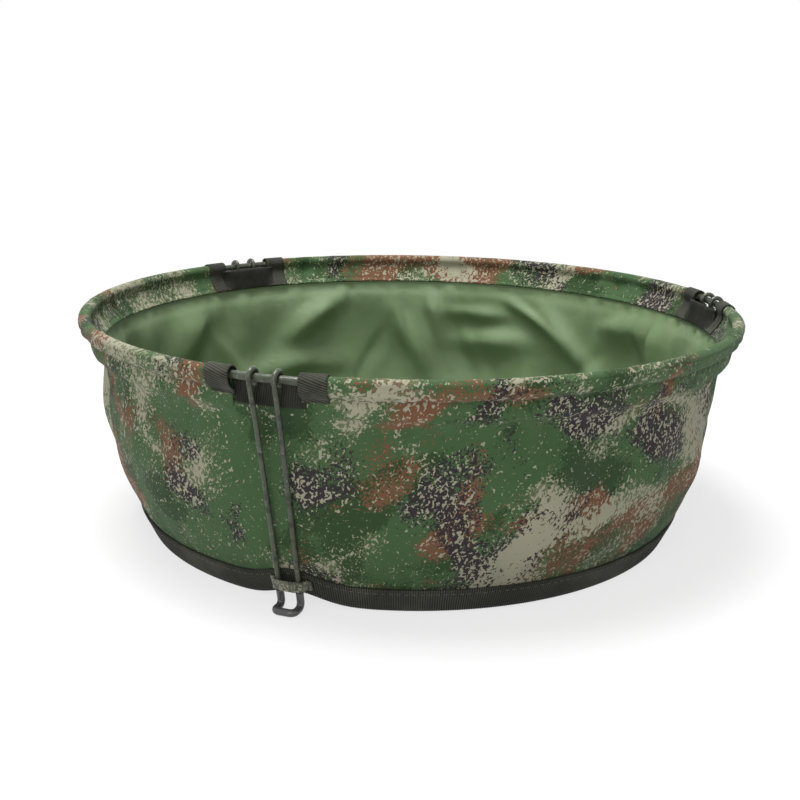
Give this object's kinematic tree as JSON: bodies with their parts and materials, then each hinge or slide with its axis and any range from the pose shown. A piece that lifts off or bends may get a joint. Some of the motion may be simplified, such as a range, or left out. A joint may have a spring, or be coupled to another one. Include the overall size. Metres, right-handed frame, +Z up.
{
  "type": "collapsible camp washbasin",
  "caption": "Round collapsible camp washbasin: camouflage cloth bowl with a coated liner, hung inside a wire rim on folding wire legs looped to the bound base.",
  "frame": {"origin": "on the ground, under the middle of the bowl", "axes": "+Z up, square to the ground and to the wire rim; -Y from the middle towards leg 1"},
  "size_m": [0.3294, 0.331, 0.1115],
  "materials": {
    "painted_wire": "olive-grey painted steel wire, semi-gloss, worn where the legs turn on the rim",
    "camo_cloth": null,
    "liner_cloth": "coated waterproof cloth, mid green, soft satin sheen",
    "floor_cloth": "heavier coated base cloth, dark green, matt",
    "binding_tape": "ribbed polyester grosgrain tape, dark grey-olive",
    "foot_vinyl": "black vinyl tube, slightly glossy"
  },
  "bodies": {
    "rim": {"rim_wire": "painted_wire", "outer_wall": "camo_cloth", "liner_wall": "liner_cloth", "hem_sleeve_1": "camo_cloth", "hem_sleeve_2": "camo_cloth", "hem_sleeve_3": "camo_cloth", "notch_binding_1": "binding_tape", "notch_binding_2": "binding_tape", "notch_binding_3": "binding_tape"},
    "base": {"floor_panel": "floor_cloth", "liner_floor": "liner_cloth", "base_binding": "binding_tape", "foot_loop_1": "camo_cloth", "foot_loop_2": "camo_cloth", "foot_loop_3": "camo_cloth"},
    "leg_1": {"leg_1": "painted_wire", "foot_sleeve_1": "foot_vinyl"},
    "leg_2": {"leg_2": "painted_wire", "foot_sleeve_2": "foot_vinyl"},
    "leg_3": {"leg_3": "painted_wire", "foot_sleeve_3": "foot_vinyl"}
  },
  "joints": [
    {"name": "base_lift", "type": "slide", "parent": "rim", "child": "base", "axis": [0, 0, 1], "range_m": [0, 0.08], "deforming": ["outer_wall", "liner_wall", "foot_loop_1", "foot_loop_2", "foot_loop_3"]},
    {"name": "leg_1_fold", "type": "hinge", "parent": "rim", "child": "leg_1", "pos_m": [0, -0.16192, 0.1071], "axis": [-1, 0, 0], "range_deg": [0, 280], "deforming": ["foot_loop_1"]},
    {"name": "leg_2_fold", "type": "hinge", "parent": "rim", "child": "leg_2", "pos_m": [0.14022, 0.08096, 0.1071], "axis": [0.5, -0.866, 0], "range_deg": [0, 280], "deforming": ["foot_loop_2"]},
    {"name": "leg_3_fold", "type": "hinge", "parent": "rim", "child": "leg_3", "pos_m": [-0.14022, 0.08096, 0.1071], "axis": [0.5, 0.866, 0], "range_deg": [0, 280], "deforming": ["foot_loop_3"]}
  ]
}
